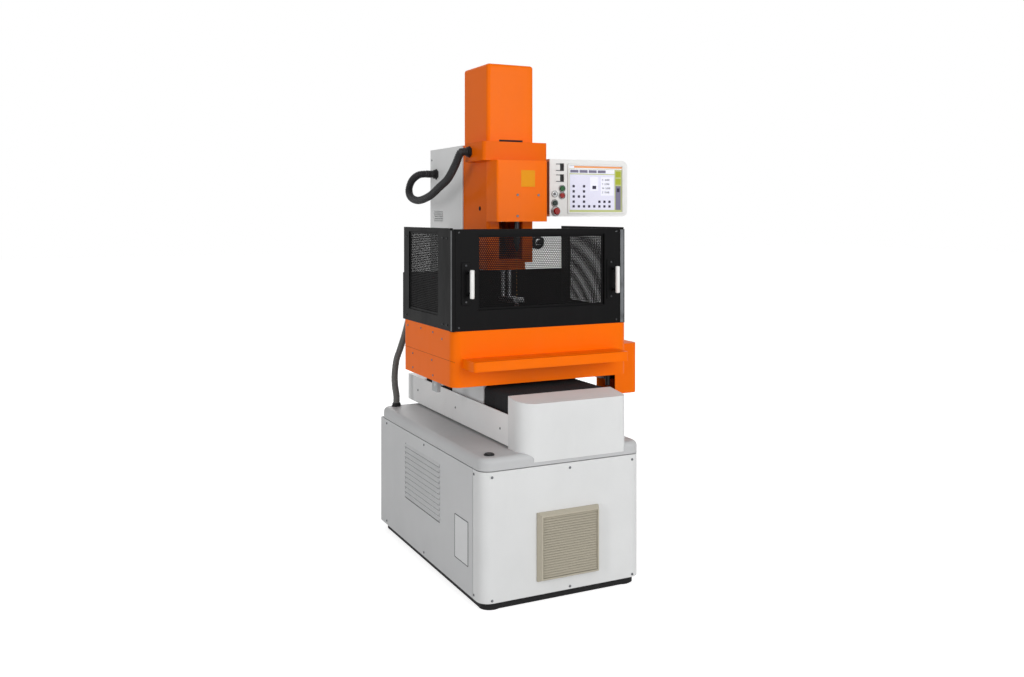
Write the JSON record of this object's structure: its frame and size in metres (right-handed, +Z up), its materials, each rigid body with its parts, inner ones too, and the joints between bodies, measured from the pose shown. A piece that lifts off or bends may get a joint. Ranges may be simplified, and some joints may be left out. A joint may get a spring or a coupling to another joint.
{
  "type": "small-hole EDM drilling machine",
  "caption": "Free-standing hole-eroding machine: cabinet, bed, cross slides, guarded slotted table, rising head with quill, spindle and panel on an arm",
  "frame": {"origin": "middle of the bounding box in plan, at the height of the floor", "axes": "+Z up, +X to the machine's right as the operator faces it, +Y from the operator's side to the back"},
  "size_m": [0.932, 1.178, 2.008],
  "materials": {
    "dark_steel": "dark painted steel",
    "frame_paint": "grey painted tube",
    "grey_sheet": "light grey textured powder coat",
    "light_sheet": "pale grey powder coat",
    "casting": "painted casting",
    "grille_plastic": "matt beige-grey moulding",
    "black_plastic": "matt black moulding",
    "conduit_plastic": "grey ribbed tube",
    "hose_plastic": "black ribbed tube",
    "steel": "ground steel",
    "motor_black": "black coated housing",
    "panel_paint": "white painted sheet",
    "screen_glass": "dark glossy screen",
    "bellows_cloth": "black coated cloth",
    "orange_paint": "satin orange powder coat",
    "orange_casting": "satin orange paint",
    "black_frame": "black anodised frame",
    "mesh_sheet": "perforated sheet",
    "bright_aluminium": "satin anodised",
    "handle_white": "satin white grip on a black plate",
    "rubber_black": "black rubber",
    "copper": "drawn tube",
    "button_green": "glossy green cap",
    "button_red": "glossy red cap",
    "button_black": "glossy black cap"
  },
  "bodies": {
    "base": {"feet": "dark_steel", "stand": "frame_paint", "front_panel": "light_sheet", "side_panels": "grey_sheet", "rear_panel": "grey_sheet", "lid": "grey_sheet", "cable_glands": "black_plastic", "conduit": "conduit_plastic", "filter_grille": "grille_plastic", "bed": "casting", "bed_covers": "grey_sheet", "front_block": "light_sheet", "base_rails": "steel", "base_motors": "motor_black", "column": "casting", "column_cover": "grey_sheet", "panel_arm": "panel_paint", "panel_housing": "panel_paint", "screen": "screen_glass", "panel_ports": "black_plastic", "bellows": "bellows_cloth", "head_hose": "hose_plastic"},
    "y_ballscrew": {"y_screw": "steel"},
    "x_ballscrew": {"x_screw": "steel"},
    "w_ballscrew": {"w_screw": "steel"},
    "z_ballscrew": {"z_screw": "steel"},
    "saddle": {"saddle": "casting"},
    "table": {"table_base": "casting", "x_rails": "steel", "tray": "orange_paint", "x_motor_cover": "orange_paint", "x_motor": "motor_black", "drain_hose": "rubber_black", "table_top": "steel", "side_walls": "black_frame", "back_wall": "black_frame", "wall_meshes": "mesh_sheet", "corner_guides": "bright_aluminium"},
    "guard": {"front_guard": "black_frame", "guard_mesh": "mesh_sheet", "guard_handles": "handle_white"},
    "head": {"head_body": "orange_casting", "head_collar": "orange_paint", "upper_cover": "orange_paint", "z_rails": "steel", "z_motor": "motor_black", "guide_arm": "steel", "electrode_guide": "steel", "hose_fittings": "black_plastic"},
    "quill": {"z_carriage": "casting", "spindle_cover": "orange_paint"},
    "spindle": {"chuck": "steel", "electrode": "copper"},
    "green_push": {"green_button": "button_green"},
    "red_push": {"red_button": "button_red"},
    "black_push": {"black_button": "button_black"},
    "stop_push": {"stop_button": "button_red"},
    "key_turn": {"key_switch": "steel"}
  },
  "joints": [
    {"name": "y_slide", "type": "slide", "parent": "base", "child": "saddle", "axis": [0, 1, 0], "range_m": [-0.125, 0.125], "deforming": ["bellows"]},
    {"name": "x_slide", "type": "slide", "parent": "saddle", "child": "table", "axis": [1, 0, 0], "range_m": [-0.15, 0.15]},
    {"name": "guard_lift", "type": "slide", "parent": "table", "child": "guard", "axis": [0, 0, 1], "range_m": [0, 0.3]},
    {"name": "w_slide", "type": "slide", "parent": "base", "child": "head", "axis": [0, 0, 1], "range_m": [0, 0.2], "deforming": ["head_hose"]},
    {"name": "z_slide", "type": "slide", "parent": "head", "child": "quill", "axis": [0, 0, 1], "range_m": [-0.16, 0]},
    {"name": "spindle_turn", "type": "hinge", "parent": "quill", "child": "spindle", "pos_m": [-0.082, -0.0875, 1.3], "axis": [0, 0, 1], "continuous": true},
    {"name": "y_screw_turn", "type": "hinge", "parent": "base", "child": "y_ballscrew", "pos_m": [-0.082, -0.064, 0.628], "axis": [0, 1, 0], "continuous": true},
    {"name": "x_screw_turn", "type": "hinge", "parent": "table", "child": "x_ballscrew", "pos_m": [-0.082, -0.124, 0.73], "axis": [1, 0, 0], "continuous": true},
    {"name": "w_screw_turn", "type": "hinge", "parent": "base", "child": "w_ballscrew", "pos_m": [-0.082, 0.266, 1.4], "axis": [0, 0, 1], "continuous": true},
    {"name": "z_screw_turn", "type": "hinge", "parent": "head", "child": "z_ballscrew", "pos_m": [-0.082, 0.086, 1.4], "axis": [0, 0, 1], "continuous": true},
    {"name": "green_press", "type": "slide", "parent": "base", "child": "green_push", "axis": [0, 1, 0], "range_m": [0, 0.003], "stiffness_N_per_m": 800, "springref_m": -0.002},
    {"name": "red_press", "type": "slide", "parent": "base", "child": "red_push", "axis": [0, 1, 0], "range_m": [0, 0.003], "stiffness_N_per_m": 800, "springref_m": -0.002},
    {"name": "black_press", "type": "slide", "parent": "base", "child": "black_push", "axis": [0, 1, 0], "range_m": [0, 0.003], "stiffness_N_per_m": 800, "springref_m": -0.002},
    {"name": "stop_press", "type": "slide", "parent": "base", "child": "stop_push", "axis": [0, 1, 0], "range_m": [0, 0.004]},
    {"name": "key_switch_turn", "type": "hinge", "parent": "base", "child": "key_turn", "pos_m": [0.1065, -0.064, 1.475], "axis": [0, 1, 0], "range_deg": [0, 60]}
  ],
  "couplings": [
    {"joint": "y_screw_turn", "follows": "y_slide", "rad_per_m": -628.32},
    {"joint": "x_screw_turn", "follows": "x_slide", "rad_per_m": 628.32},
    {"joint": "w_screw_turn", "follows": "w_slide", "rad_per_m": -628.32},
    {"joint": "z_screw_turn", "follows": "z_slide", "rad_per_m": -628.32}
  ]
}
